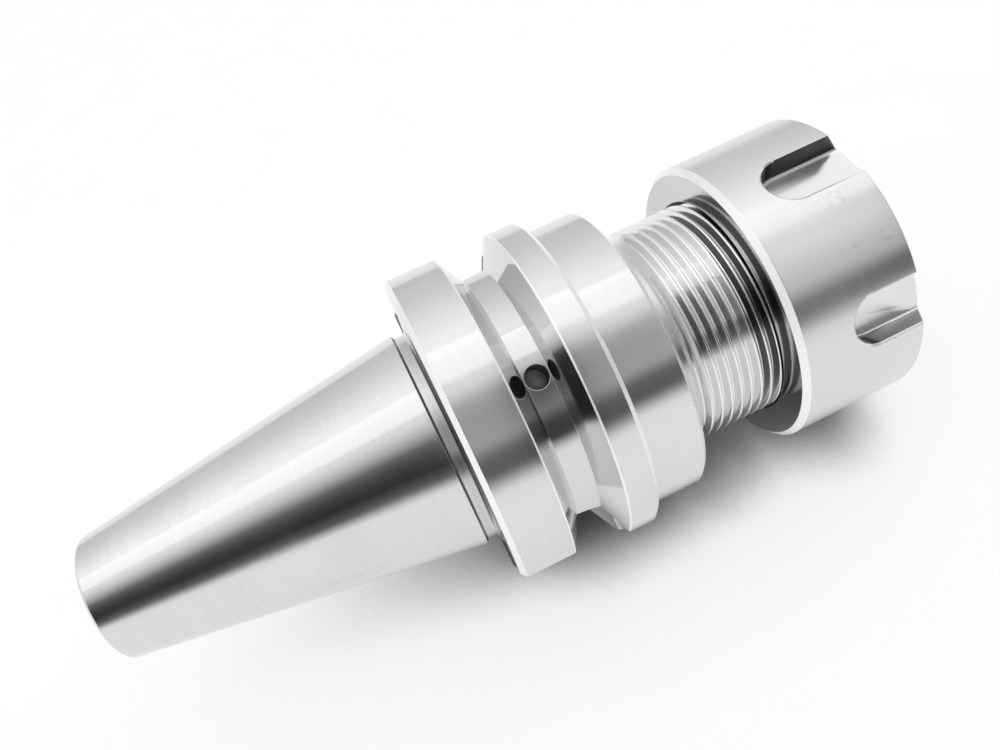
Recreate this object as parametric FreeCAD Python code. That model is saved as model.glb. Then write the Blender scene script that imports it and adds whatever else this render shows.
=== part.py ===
# Collet chuck holder: a size 30 spindle taper with a spring collet, closed by a slotted nut.
# Millimetres. The axis is X: the taper points to -X, the nut to +X, and X = 0 is the gauge line.
# The piece lies on its flange, +Z up, turned on its axis as it rolled to rest.
import FreeCAD, Part
import math
import os

V = FreeCAD.Vector
AXIS = V(1, 0, 0)

# Spindle taper
gauge_diameter = 31.75
taper_rate = 7 / 24
taper_length = 48.4
taper_end_chamfer = 0.4

# Neck between the gauge line and the flange
gauge_to_flange = 2.0
neck_diameter = 30.6
neck_lead = 0.25
neck_corner = 0.4

# Flange with the gripper groove
flange_diameter = 46.0
flange_width = 20.0
flange_back_chamfer = 0.7
flange_nose_chamfer = 0.6
groove_centre = 13.6
groove_bottom_diameter = 38.0
groove_bottom_width = 3.38
groove_half_angle = 30.0

# Two drive key slots, opposite each other, and the small blind hole in the groove between them
key_slot_width = 16.1
key_slot_floor = 16.3
key_slot_length = 17.0
key_slot_end_radius = 8.0
blind_hole_diameter = 3.15
blind_hole_depth = 4.0

# Plain body, thread relief and threaded nose
body_diameter = 42.0
body_length = 8.0
body_chamfer = 0.5
relief_diameter = 29.4
relief_length = 3.0
thread_diameter = 32.0
thread_pitch = 1.5
thread_half_angle = 30.0
nose_length = 19.3
nose_chamfer = 0.9

# Inside the holder
seat_half_angle = 8.0
seat_diameter = 26.0
shank_bore_diameter = 17.0
shank_bore_end = 8.0
through_bore_diameter = 8.0
draw_thread_minor = 10.1
draw_thread_depth = 34.0
draw_pilot_diameter = 12.5
draw_pilot_depth = 7.0
draw_mouth_chamfer = 0.75
drill_point_angle = 118.0

# Spring collet
collet_length = 34.0
collet_collar_diameter = 24.86
collet_collar_length = 3.9
collet_groove_width = 3.1
collet_groove_diameter = 22.2
collet_face_diameter = 21.4
collet_cone_angle = 30.0
collet_bore_diameter = 12.0
collet_bore_relief = 13.0
collet_grip_length = 22.0
collet_slit_count = 8
collet_slit_width = 0.8
collet_web = 4.5

# Clamping nut
nut_diameter = 42.0
nut_length = 20.0
nut_back_chamfer = 0.8
nut_bevel_length = 2.5
nut_bevel_angle = 60.0
nut_thread_clearance = 0.11
nut_mouth_chamfer = 0.2
nut_front_wall = 6.9
nut_lip_diameter = 24.2
nut_lip_eccentricity = 0.6
nut_lip_width = 2.0
nut_cone_clearance = 0.15
wrench_slot_count = 6
wrench_slot_width = 7.2
wrench_slot_floor = 17.4
wrench_slot_long = 14.2
wrench_slot_short = 12.1
wrench_slot_foot = 0.45

# How the pieces stand: the nut is three turns short of tight
nut_turns_to_tight = 3.0
collet_proud_when_tight = 0.3
collet_face_recess = 0.4
lying_angle = 35.0
nut_angle = 9.0

# Worked out along the axis
flange_start = gauge_to_flange
flange_end = flange_start + flange_width
body_end = flange_end + body_length
thread_start = body_end + relief_length
nose_face = thread_start + nose_length
loose_travel = nut_turns_to_tight * thread_pitch
collet_cone_start = nose_face + collet_proud_when_tight + loose_travel
collet_face = collet_cone_start + collet_groove_width + collet_collar_length
collet_back = collet_face - collet_length
nut_face = collet_face + collet_face_recess
nut_back = nut_face - nut_length
thread_root_diameter = thread_diameter - 1.2269 * thread_pitch
nut_bore_diameter = thread_diameter + 2 * nut_thread_clearance


def slope(angle):
    return math.tan(math.radians(angle))


def taper_radius(x):
    return (gauge_diameter + x * taper_rate) / 2


def turned(points):
    """A solid of revolution about the X axis, from the corners of its half section as X and radius."""
    corners = [V(x, 0, radius) for x, radius in points]
    return Part.Face(Part.makePolygon(corners + corners[:1])).revolve(V(0, 0, 0), AXIS, 360)


def rod(radius, start, end, offset=0.0):
    return Part.makeCylinder(radius, end - start, V(start, 0, offset), AXIS)


def slot_cutter(width, floor, top, start, end, end_radius, foot):
    """A flat-floored slot on the +Z side, open at one end and rounded at the other, with its foot broken."""
    half = width / 2
    inner = math.copysign(min(end_radius, half), end - start)
    bend = inner * (1 - math.sqrt(0.5))
    corner = end - inner
    side = half - abs(inner)
    bend_side = half - abs(bend)
    edges = [Part.makeLine(V(start, half, floor), V(corner, half, floor))]
    edges.append(Part.Arc(V(corner, half, floor), V(end - bend, bend_side, floor), V(end, side, floor)).toShape())
    if side > 1e-6:
        edges.append(Part.makeLine(V(end, side, floor), V(end, -side, floor)))
    edges.append(Part.Arc(V(end, -side, floor), V(end - bend, -bend_side, floor), V(corner, -half, floor)).toShape())
    edges.append(Part.makeLine(V(corner, -half, floor), V(start, -half, floor)))
    edges.append(Part.makeLine(V(start, -half, floor), V(start, half, floor)))
    block = Part.Face(Part.Wire(edges)).extrude(V(0, 0, top - floor))
    if not foot:
        return block
    rim = [e for e in block.Edges if e.BoundBox.ZMax < floor + 1e-6 and abs(e.CenterOfMass.x - start) > 1e-6]
    return block.makeChamfer(foot, rim)


def around(shape, angle):
    copy = shape.copy()
    copy.rotate(V(0, 0, 0), AXIS, angle)
    return copy


def holder_outside():
    flange_radius = flange_diameter / 2
    groove_radius = groove_bottom_diameter / 2
    groove_run = (flange_radius - groove_radius) * slope(groove_half_angle)
    groove_left = groove_centre - groove_bottom_width / 2
    groove_right = groove_centre + groove_bottom_width / 2
    neck_radius = neck_diameter / 2
    body_radius = body_diameter / 2
    relief_radius = relief_diameter / 2
    root_radius = thread_root_diameter / 2
    return [
        (-taper_length, taper_radius(-taper_length) - taper_end_chamfer),
        (-taper_length + taper_end_chamfer, taper_radius(taper_end_chamfer - taper_length)),
        (0, gauge_diameter / 2),
        (neck_lead, neck_radius),
        (flange_start - neck_corner, neck_radius),
        (flange_start, neck_radius + neck_corner),
        (flange_start, flange_radius - flange_back_chamfer),
        (flange_start + flange_back_chamfer, flange_radius),
        (groove_left - groove_run, flange_radius),
        (groove_left, groove_radius),
        (groove_right, groove_radius),
        (groove_right + groove_run, flange_radius),
        (flange_end - flange_nose_chamfer, flange_radius),
        (flange_end, flange_radius - flange_nose_chamfer),
        (flange_end, body_radius),
        (body_end - body_chamfer, body_radius),
        (body_end, body_radius - body_chamfer),
        (body_end, relief_radius),
        (thread_start - (root_radius - relief_radius), relief_radius),
        (thread_start, root_radius),
        (nose_face - nose_chamfer, root_radius),
        (nose_face, root_radius - nose_chamfer),
    ]


def holder_inside():
    seat_radius = seat_diameter / 2
    shank_radius = shank_bore_diameter / 2
    through_radius = through_bore_diameter / 2
    minor_radius = draw_thread_minor / 2
    pilot_radius = draw_pilot_diameter / 2
    point = slope(drill_point_angle / 2)
    seat_end = nose_face - (seat_radius - shank_radius) / slope(seat_half_angle)
    thread_end = -taper_length + draw_thread_depth
    pilot_end = -taper_length + draw_pilot_depth
    return [
        (nose_face, seat_radius),
        (seat_end, shank_radius),
        (shank_bore_end, shank_radius),
        (shank_bore_end, through_radius),
        (thread_end + (minor_radius - through_radius) / point, through_radius),
        (thread_end, minor_radius),
        (pilot_end, minor_radius),
        (pilot_end, pilot_radius),
        (-taper_length + draw_mouth_chamfer, pilot_radius),
        (-taper_length, pilot_radius + draw_mouth_chamfer),
    ]


def key_slot():
    end = flange_start + key_slot_length
    start = flange_start - 1
    return slot_cutter(key_slot_width, key_slot_floor, flange_diameter, start, end, key_slot_end_radius, 0)


def blind_hole():
    radius = blind_hole_diameter / 2
    bottom = groove_bottom_diameter / 2 - blind_hole_depth
    drill = Part.makeCylinder(radius, flange_diameter / 2 - bottom, V(groove_centre, 0, bottom))
    depth = radius / slope(drill_point_angle / 2)
    point = Part.makeCone(0, radius, depth, V(groove_centre, 0, bottom - depth))
    return drill.fuse(point)


def nose_thread():
    """The ridge of the nose thread: a vee wound right-handed about the axis, then trimmed to the chamfered nose."""
    root = thread_root_diameter / 2
    depth = thread_diameter / 2 - root
    sunk = depth / 8
    half_foot = (depth + sunk) * slope(thread_half_angle)
    turns = math.ceil(nose_length / thread_pitch) + 2
    foot_left = V(root - sunk, 0, -half_foot)
    crest = V(root + depth, 0, 0)
    foot_right = V(root - sunk, 0, half_foot)
    vee = Part.makePolygon([foot_left, crest, foot_right, foot_left])
    helix = Part.makeHelix(thread_pitch, turns * thread_pitch, root)
    ridge = Part.Wire(helix).makePipeShell([vee], True, True)
    ridge.rotate(V(0, 0, 0), V(0, 1, 0), 90)
    ridge.translate(V(thread_start - thread_pitch, 0, 0))
    nose = turned([
        (thread_start, root - depth),
        (thread_start, root),
        (thread_start + 1.1 * depth, root + 1.1 * depth),
        (nose_face - nose_chamfer - 1.1 * depth, root + 1.1 * depth),
        (nose_face - nose_chamfer, root),
        (nose_face - nose_chamfer, root - depth),
    ])
    return ridge.common(nose)


def holder_body():
    solid = turned(holder_outside() + holder_inside())
    slot = key_slot()
    solid = solid.cut([around(slot, 90), around(slot, -90), blind_hole()])
    solid = solid.fuse(nose_thread())
    return around(solid, lying_angle)


def collet():
    collar_radius = collet_collar_diameter / 2
    face_radius = collet_face_diameter / 2
    groove_radius = collet_groove_diameter / 2
    seat_radius = seat_diameter / 2
    bore_radius = collet_bore_diameter / 2
    relief_radius = collet_bore_relief / 2
    cone_run = (collar_radius - face_radius) / slope(collet_cone_angle)
    back_radius = seat_radius - (collet_cone_start - collet_back) * slope(seat_half_angle)
    solid = turned([
        (collet_back, relief_radius),
        (collet_back, back_radius),
        (collet_cone_start, seat_radius),
        (collet_cone_start, groove_radius),
        (collet_cone_start + collet_groove_width, groove_radius),
        (collet_cone_start + collet_groove_width, collar_radius),
        (collet_face - cone_run, collar_radius),
        (collet_face, face_radius),
        (collet_face, bore_radius + 0.4),
        (collet_face - 0.4, bore_radius),
        (collet_face - collet_grip_length, bore_radius),
        (collet_face - collet_grip_length - (relief_radius - bore_radius), relief_radius),
    ])
    step = 360 / collet_slit_count
    slits = []
    for i in range(collet_slit_count):
        front = Part.makeBox(collet_length, collet_slit_width, seat_diameter)
        front.translate(V(collet_back + collet_web, -collet_slit_width / 2, 0))
        back = Part.makeBox(collet_length, collet_slit_width, seat_diameter)
        back.translate(V(collet_face - collet_web - collet_length, -collet_slit_width / 2, 0))
        slits.append(around(front, i * step))
        slits.append(around(back, (i + 0.5) * step))
    return around(solid.cut(slits), lying_angle)


def wrench_slot(length):
    half = wrench_slot_width / 2
    start = nut_face + 1
    return slot_cutter(wrench_slot_width, wrench_slot_floor, nut_diameter, start, nut_face - length, half,
                       wrench_slot_foot)


def clamping_nut():
    outer = nut_diameter / 2
    bore = nut_bore_diameter / 2
    lip = nut_lip_diameter / 2 - nut_lip_eccentricity
    wall_start = nut_face - nut_front_wall
    lip_start = collet_cone_start + (collet_groove_width - nut_lip_width) / 2
    lip_end = lip_start + nut_lip_width
    pocket = collet_collar_diameter / 2 + 2 * nut_cone_clearance
    cone_lift = nut_cone_clearance / math.cos(math.radians(collet_cone_angle))
    face_radius = collet_face_diameter / 2 + cone_lift - collet_face_recess * slope(collet_cone_angle)
    cone_start = nut_face - (pocket - face_radius) / slope(collet_cone_angle)
    solid = turned([
        (nut_back, bore + nut_mouth_chamfer),
        (nut_back, outer - nut_back_chamfer),
        (nut_back + nut_back_chamfer, outer),
        (nut_face - nut_bevel_length, outer),
        (nut_face, outer - nut_bevel_length * slope(nut_bevel_angle)),
        (nut_face, face_radius),
        (cone_start, pocket),
        (lip_end, pocket),
        (lip_end, lip),
        (lip_start, lip),
        (wall_start, lip + lip_start - wall_start),
        (wall_start, bore),
        (nut_back + nut_mouth_chamfer, bore),
    ])
    lip_cut = rod(nut_lip_diameter / 2, wall_start - 1, lip_end + 0.5, nut_lip_eccentricity)
    long_slot = wrench_slot(wrench_slot_long)
    short_slot = wrench_slot(wrench_slot_short)
    step = 360 / wrench_slot_count
    slots = [around(short_slot if i % 2 else long_slot, i * step) for i in range(wrench_slot_count)]
    return around(solid.cut([lip_cut] + slots), nut_angle)


def main():
    os.makedirs("parts", exist_ok=True)
    pieces = {"holder_body": holder_body(), "collet": collet(), "clamping_nut": clamping_nut()}
    for name, shape in pieces.items():
        shape.Solids[0].exportStep("parts/" + name + ".step")
        print(name, "has", len(shape.Solids), "solid of", round(shape.Volume), "cubic millimetres")


main()
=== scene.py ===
# %% [markdown]
# # A collet chuck holder in polished steel
#
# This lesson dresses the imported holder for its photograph. The real part is turned and ground from
# hardened steel: a steep taper that sits in a spindle, a flange with a V-groove for the tool changer,
# a threaded nose, and a slotted nut that presses a spring collet shut. Nearly everything on it is a
# shape from a lathe, so most pieces here start as one ring and grow along the axis. Lengths are
# written in millimetres, as on a drawing, and turned into Blender's metres where a tool needs them.
# The axis is X. It runs from the taper to the nut, with its zero at the taper's gauge line.

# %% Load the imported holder
import math
import bmesh
import bpy
from mathutils import Matrix, Vector


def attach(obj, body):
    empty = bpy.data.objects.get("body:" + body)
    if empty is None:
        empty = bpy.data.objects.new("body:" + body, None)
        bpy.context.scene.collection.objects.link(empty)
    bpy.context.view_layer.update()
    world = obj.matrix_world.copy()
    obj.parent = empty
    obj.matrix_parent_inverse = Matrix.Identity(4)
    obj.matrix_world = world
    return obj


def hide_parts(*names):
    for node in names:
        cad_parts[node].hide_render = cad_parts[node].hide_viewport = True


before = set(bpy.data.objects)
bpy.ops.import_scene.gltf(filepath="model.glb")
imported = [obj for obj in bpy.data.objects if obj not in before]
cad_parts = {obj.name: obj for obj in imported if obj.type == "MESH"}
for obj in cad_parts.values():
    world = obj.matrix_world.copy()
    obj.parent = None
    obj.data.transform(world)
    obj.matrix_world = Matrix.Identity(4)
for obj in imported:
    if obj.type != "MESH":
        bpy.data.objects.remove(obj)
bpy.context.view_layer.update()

MM = 0.001

# %% [markdown]
# ## Working by hand in code
#
# Every tool of Blender's modelling menu is also a call, and a call acts on all that is selected. The
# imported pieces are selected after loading, so a careless call would bend them too. That is why each
# step starts with a cleared selection. The last helper picks points, edges or faces by a rule on
# where they are or where they look, which is what the mouse would do.

# %% Helpers for selecting
def clear_selection():
    """Leaves edit mode and deselects every object."""
    if bpy.context.mode != "OBJECT":
        bpy.ops.object.mode_set(mode="OBJECT")
    bpy.ops.object.select_all(action="DESELECT")


def only(piece):
    """Selects one piece alone and makes it the active one."""
    clear_selection()
    piece.select_set(True)
    bpy.context.view_layer.objects.active = piece


def pick(kind, rule):
    """In edit mode, selects only the VERT, EDGE or FACE elements for which the rule is true."""
    bpy.ops.mesh.select_mode(type=kind)
    bpy.ops.mesh.select_all(action="DESELECT")
    mesh = bmesh.from_edit_mesh(bpy.context.object.data)
    mesh.normal_update()
    for element in {"VERT": mesh.verts, "EDGE": mesh.edges, "FACE": mesh.faces}[kind]:
        if rule(element):
            element.select_set(True)
    bmesh.update_edit_mesh(bpy.context.object.data)


# %% [markdown]
# ## A lathe made of rings
#
# A turned part is a half section swept round its axis. It could be drawn as an outline and swept with
# the Spin tool. Here it grows from a circle instead, because each ring then has its place and size
# from the start: it is extruded to the next corner of the section and scaled to that corner's radius,
# again and again, until it is back at the first one, where the two are merged. The bore is made on
# the way back, so the piece comes out as one closed wall. Steps of one and a half degrees keep the
# outline round.

# %% The lathe
ring_points = 240
same_point = 0.002


def turn_on_lathe(name, section, points=ring_points):
    """Sweeps a closed half section, a list of (x, radius) corners, round the axis."""
    clear_selection()
    x, radius = section[0]
    bpy.ops.mesh.primitive_circle_add(vertices=points, radius=radius * MM, fill_type="NOTHING",
                                      location=(x * MM, 0, 0), rotation=(0, math.pi / 2, 0))
    piece = bpy.context.object
    piece.name = name
    bpy.ops.object.transform_apply(location=True, rotation=True, scale=True)
    bpy.ops.object.mode_set(mode="EDIT")
    bpy.ops.mesh.select_all(action="SELECT")
    for next_x, next_radius in section[1:] + section[:1]:
        step = ((next_x - x) * MM, 0, 0)
        bpy.ops.mesh.extrude_region_move(TRANSFORM_OT_translate={"value": step})
        scale = next_radius / radius
        bpy.ops.transform.resize(value=(1, scale, scale), center_override=(next_x * MM, 0, 0))
        x, radius = next_x, next_radius
    bpy.ops.mesh.select_all(action="SELECT")
    bpy.ops.mesh.remove_doubles(threshold=same_point * MM)
    bpy.ops.mesh.normals_make_consistent(inside=False)
    bpy.ops.object.mode_set(mode="OBJECT")
    return piece


print("a ring's step:", 360 / ring_points, "degrees")

# %% [markdown]
# ## Cutting
#
# Slots and holes are milled after the turning. They could be modelled into the rings by moving single
# points, but their round ends would never come out clean. So each cutter is a piece of its own,
# turned to its place round the axis, and a Boolean modifier, once applied, takes it away. The same
# modifier can also keep only what lies inside the cutter, which is how the threads are trimmed.

# %% Cutting one piece with another
def cut_away(piece, cutter, operation="DIFFERENCE"):
    """Takes the cutter away from the piece, or with INTERSECT keeps only what lies inside it."""
    only(piece)
    bpy.ops.object.modifier_add(type="BOOLEAN")
    boolean = piece.modifiers[-1]
    boolean.operation = operation
    boolean.solver = "EXACT"
    boolean.object = cutter
    bpy.ops.object.modifier_apply(modifier=boolean.name)
    bpy.data.objects.remove(cutter)


def turn_about_axis(piece, degrees):
    """Turns a piece that was made above the axis to its place round it."""
    only(piece)
    piece.rotation_euler = (math.radians(degrees), 0, 0)
    bpy.ops.object.transform_apply(location=True, rotation=True, scale=True)
    return piece


# %% [markdown]
# ## The end mill
#
# An end mill leaves a slot with a round end and, if its own corners are rounded, a small radius along
# the foot of the walls. The cutter is the room that the mill sweeps. It could be a cylinder joined to
# a block, but one block is simpler: its two far corners are rounded with the bevel tool, and an
# optional second bevel rounds its foot. Its open side stays square, because it hangs out past the
# piece.

# %% The slot cutter
touching = 0.01
round_steps = 14
foot_steps = 3


def slot_cutter(width, floor, top, start, end, corner, foot, degrees):
    """A block from start to end along the axis, with round corners at its end and a rounded foot."""
    clear_selection()
    middle = ((start + end) / 2 * MM, 0, (floor + top) / 2 * MM)
    size = (abs(end - start) * MM, width * MM, (top - floor) * MM)
    bpy.ops.mesh.primitive_cube_add(size=1, location=middle, scale=size)
    cutter = bpy.context.object
    bpy.ops.object.transform_apply(location=True, rotation=True, scale=True)

    def stands_at_end(edge):
        tall = abs(edge.verts[0].co.z - edge.verts[1].co.z) > MM
        return tall and all(abs(point.co.x / MM - end) < touching for point in edge.verts)

    def lies_along_foot(edge):
        low = all(abs(point.co.z / MM - floor) < touching for point in edge.verts)
        return low and not all(abs(point.co.x / MM - start) < touching for point in edge.verts)

    bpy.ops.object.mode_set(mode="EDIT")
    pick("EDGE", stands_at_end)
    bpy.ops.mesh.bevel(offset=corner * MM, segments=round_steps, affect="EDGES")
    if foot:
        pick("EDGE", lies_along_foot)
        bpy.ops.mesh.bevel(offset=foot * MM, segments=foot_steps, affect="EDGES")
    bpy.ops.object.mode_set(mode="OBJECT")
    return turn_about_axis(cutter, degrees)


# %% [markdown]
# ## The drill
#
# A drill leaves a round wall and a cone at the bottom. A cylinder gives the wall. For the cone its
# lower face is extruded by the depth of the drill's point and merged into a single point, which is
# quicker than fitting a second piece.

# %% The drill
drill_points = 48
point_share = 0.6


def drill(x, radius, bottom, top, degrees):
    """A drill whose wall ends at the bottom, with a point that is a share of its radius deep."""
    clear_selection()
    bpy.ops.mesh.primitive_cylinder_add(vertices=drill_points, radius=radius * MM, depth=(top - bottom) * MM,
                                        location=(x * MM, 0, (top + bottom) / 2 * MM))
    cutter = bpy.context.object
    bpy.ops.object.transform_apply(location=True, rotation=True, scale=True)
    bpy.ops.object.mode_set(mode="EDIT")
    pick("FACE", lambda face: face.normal.z < -0.9)
    point_depth = (0, 0, -point_share * radius * MM)
    bpy.ops.mesh.extrude_region_move(TRANSFORM_OT_translate={"value": point_depth})
    bpy.ops.mesh.merge(type="CENTER")
    bpy.ops.object.mode_set(mode="OBJECT")
    return turn_about_axis(cutter, degrees)


# %% [markdown]
# ## The ridge of a thread
#
# A screw thread is one small ridge wound round the axis. A bump in the material could hint at it, but
# its outline against the table would stay smooth, so it is modelled. The ridge starts as a plane
# that stands above the axis. Its tip is scaled narrower than its foot and the tip's two corners are
# bevelled, because a real crest is never sharp. Only the outline is kept: the winding makes the walls.

# %% The outline of a ridge
def ridge_outline(name, foot_radius, tip_radius, foot_width, tip_width, start):
    """The ridge's outline at x = start. With its tip nearer the axis than its foot it is an inside thread."""
    clear_selection()
    middle = (foot_radius + tip_radius) / 2
    bpy.ops.mesh.primitive_plane_add(size=1, location=(start * MM, 0, middle * MM),
                                     rotation=(math.pi / 2, 0, 0))
    ridge = bpy.context.object
    ridge.name = name
    ridge.scale = (foot_width * MM, abs(tip_radius - foot_radius) * MM, 1)
    bpy.ops.object.transform_apply(location=True, rotation=True, scale=True)
    outward = math.copysign(1, tip_radius - foot_radius)
    bpy.ops.object.mode_set(mode="EDIT")
    pick("VERT", lambda point: (point.co.z / MM - middle) * outward > 0)
    bpy.ops.transform.resize(value=(tip_width / foot_width, 1, 1), center_override=(start * MM, 0, 0))
    bpy.ops.mesh.bevel(offset=tip_width / 4 * MM, segments=1, affect="VERTICES")
    bpy.ops.mesh.select_all(action="SELECT")
    bpy.ops.mesh.delete(type="ONLY_FACE")
    bpy.ops.object.mode_set(mode="OBJECT")
    return ridge


# %% [markdown]
# ## Winding it
#
# The Screw modifier turns the outline about the axis and moves it by one pitch a turn, which is just
# what a lathe's lead screw does. Edit mode has a Screw tool too, but that one reads the pitch from the
# drawn mesh, and the modifier takes it as a number. It leaves the two ends open. They are closed with
# a face each, so that a Boolean can tell the inside from the outside.

# %% Winding a ridge
def wind(ridge, pitch, turns, steps):
    """Winds the outline about the axis, with so many steps in each turn, and closes its two ends."""
    only(ridge)
    bpy.ops.object.modifier_add(type="SCREW")
    screw = ridge.modifiers[-1]
    screw.axis = "X"
    screw.screw_offset = pitch * MM
    screw.iterations = turns
    screw.steps = screw.render_steps = steps
    bpy.ops.object.modifier_apply(modifier=screw.name)
    bpy.ops.object.mode_set(mode="EDIT")
    bpy.ops.mesh.select_all(action="DESELECT")
    bpy.ops.mesh.select_non_manifold()
    bpy.ops.mesh.fill_holes(sides=0)
    bpy.ops.mesh.select_all(action="SELECT")
    bpy.ops.mesh.normals_make_consistent(inside=False)
    bpy.ops.object.mode_set(mode="OBJECT")


# %% [markdown]
# ## The taper and the neck
#
# The taper is what the spindle grips. It is ground to seven in twenty-four and measures 31.75 mm
# across at the gauge line. The edge of its small end is rounded over, and a narrow neck at its wide
# end lets the grinding wheel run out. Corners that a hand would touch are broken by a few tenths of a
# millimetre, which is what catches the light on the real part. The section could be a bare list of
# corners. It is worked out from a few driving sizes instead, so that the region of each finish can be
# found from the same sizes later.

# %% The section of the taper and the neck
taper_rate = 7 / 24
gauge_radius = 31.75 / 2
small_end = -48.4
small_radius = gauge_radius + small_end * taper_rate / 2
end_round = 0.4
neck_radius = 15.3
neck_slope = 0.32
neck_foot = 0.4
flange_start = 2.0

taper_section = [
    (small_end, small_radius - end_round), (small_end + 0.3 * end_round, small_radius - 0.4 * end_round),
    (small_end + end_round, small_radius + 0.15 * end_round), (0.0, gauge_radius),
]
neck_section = [
    (neck_slope, neck_radius), (flange_start - neck_foot, neck_radius),
    (flange_start, neck_radius + neck_foot),
]
print("taper:", -small_end, "mm long, small end", round(2 * small_radius, 2), "mm across")

# %% [markdown]
# ## The flange and its groove
#
# The fingers of the tool changer hold the flange by its V-groove, whose flanks lean thirty degrees
# each. The groove could be cut like the slots, but it runs all the way round, so it is turned with
# the rest. Its two rims are broken very slightly, and the flange's outer corners have chamfers: on
# polished steel these narrow bands are the brightest lines of all.

# %% The section of the flange
flange_end = 22.0
flange_radius = 23.0
rear_chamfer = 0.7
front_chamfer = 0.6
groove_middle = 13.6
groove_floor = 19.0
groove_half = 1.69
groove_run = (flange_radius - groove_floor) * math.tan(math.radians(30))
groove_start = groove_middle - groove_half - groove_run
groove_end = groove_middle + groove_half + groove_run
rim_outside = 0.15
rim_inside = 0.08
rim_depth = 0.14

flange_section = [
    (flange_start, flange_radius - rear_chamfer), (flange_start + rear_chamfer, flange_radius),
    (groove_start - rim_outside, flange_radius), (groove_start + rim_inside, flange_radius - rim_depth),
    (groove_middle - groove_half, groove_floor), (groove_middle + groove_half, groove_floor),
    (groove_end - rim_inside, flange_radius - rim_depth), (groove_end + rim_outside, flange_radius),
    (flange_end - front_chamfer, flange_radius), (flange_end, flange_radius - front_chamfer),
]
print("groove:", round(groove_end - groove_start, 2), "mm wide at its rims")

# %% [markdown]
# ## The body and the nose
#
# In front of the flange the body is plain, with a small foot where it meets the flange and a chamfer
# at its other end. Then comes the relief, a shallow groove in which the threading tool runs out, and
# the nose, turned down to the root of its thread. The thread could be part of the section as plain
# rings, but rings do not climb, so the nose is smooth here and gets its ridge as a piece of its own.

# %% The section of the body and the nose
body_radius = 21.0
body_end = 30.0
body_foot = 0.4
body_chamfer = 0.5
relief_radius = 14.7
relief_corner = 0.5
root_radius = 15.08
thread_start = 33.0
relief_slope = root_radius - relief_radius
nose_face = 52.3
nose_chamfer = 0.9

body_section = [
    (flange_end, body_radius + body_foot), (flange_end + body_foot, body_radius),
    (body_end - body_chamfer, body_radius), (body_end, body_radius - body_chamfer),
    (body_end, relief_radius + relief_corner), (body_end + relief_corner, relief_radius),
    (thread_start - relief_slope, relief_radius), (thread_start, root_radius),
    (nose_face - nose_chamfer, root_radius), (nose_face, root_radius - nose_chamfer),
]
print("threaded nose:", round(nose_face - thread_start, 2), "mm long")

# %% [markdown]
# ## The bores
#
# The nose is hollow: the collet's seat is a cone of eight degrees a side, and behind it a plain bore
# leaves room for the tool's shank. From the other end come the stud's pilot bore and the draw thread's
# hole, which a narrow bore joins to the rest. The bores could be left out of a picture from the side,
# but the ends look empty without them. They close the section, so the same pass of the lathe makes
# them.

# %% The section of the bores, and the turning
seat_angle = math.radians(8)
seat_radius = 13.0
shank_radius = 8.5
shank_end = 8.0
through_radius = 4.0
draw_radius = 6.0
draw_end = -14.4
draw_cone = 1.2
draw_start = -41.4
pilot_radius = 6.25
pilot_chamfer = 0.75
seat_length = (seat_radius - shank_radius) / math.tan(seat_angle)

bore_section = [
    (nose_face, seat_radius), (nose_face - seat_length, shank_radius),
    (shank_end, shank_radius), (shank_end, through_radius),
    (draw_end + draw_cone, through_radius), (draw_end, draw_radius),
    (draw_start, draw_radius), (draw_start, pilot_radius),
    (small_end + pilot_chamfer, pilot_radius), (small_end, pilot_radius + pilot_chamfer),
]
outside_section = taper_section + neck_section + flange_section + body_section
holder = turn_on_lathe("holder_steel", outside_section + bore_section)
print("holder turned:", len(holder.data.polygons), "faces")

# %% [markdown]
# ## The drive slots and the blind hole
#
# Two keys on the spindle turn the holder by two slots that lie opposite each other in its flange.
# Halfway between them, at the bottom of the groove, is a small blind hole. The holder lies rolled by
# thirty-five degrees, so all three are turned by that angle. They could be modelled into the rings,
# but the slots cross the flange's rear face, its groove and its rims at once, and a Boolean cuts all
# of that cleanly.

# %% Milling the drive slots and drilling the hole
lying = 35.0
key_width = 16.1
key_floor = 16.3
key_end = 19.0
key_mill = 8.0
past_flange = 26.0
hole_radius = 1.575
hole_bottom = 15.0

for side in (90, -90):
    mill = slot_cutter(width=key_width, floor=key_floor, top=past_flange, start=0.5, end=key_end,
                       corner=key_mill, foot=0, degrees=lying + side)
    cut_away(holder, mill)
cut_away(holder, drill(groove_middle, hole_radius, hole_bottom, past_flange, lying))
print("holder cut:", len(holder.data.polygons), "faces")

# %% [markdown]
# ## The nose thread
#
# The nose carries a fine right-hand thread of one and a half millimetres' pitch, and about eight of
# its ridges show between the relief and the nut. The ridge is wound past both ends of the nose on
# purpose. A turned ring with sloping shoulders then trims it, so that it fades in and out as on a
# lathe. Scaling its last points down by hand would be slower and less even. The ridge's foot sinks a
# little into the nose, so that no gap can show.

# %% Winding and trimming the nose thread
nose_ridge = ridge_outline("nose_thread", foot_radius=14.95, tip_radius=15.97, foot_width=1.49,
                           tip_width=0.3, start=30.604)
wind(nose_ridge, pitch=1.5, turns=16, steps=120)
trim = turn_on_lathe("trim", [
    (thread_start, 14.2), (thread_start, 15.1), (thread_start + 1, 16.1),
    (nose_face - 1, 16.1), (nose_face, 15.1), (nose_face, 14.2),
])
cut_away(nose_ridge, trim, "INTERSECT")
print("nose thread:", len(nose_ridge.data.polygons), "faces")

# %% [markdown]
# ## The draw thread
#
# The small end has a coarser thread inside, for the stud that the spindle's drawbar pulls. It is the
# same kind of ridge with its tip towards the axis. Only its first turns can ever be seen, and bump
# would do for those behind, but one ridge wound all the way is simpler than a seam between the two.

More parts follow.
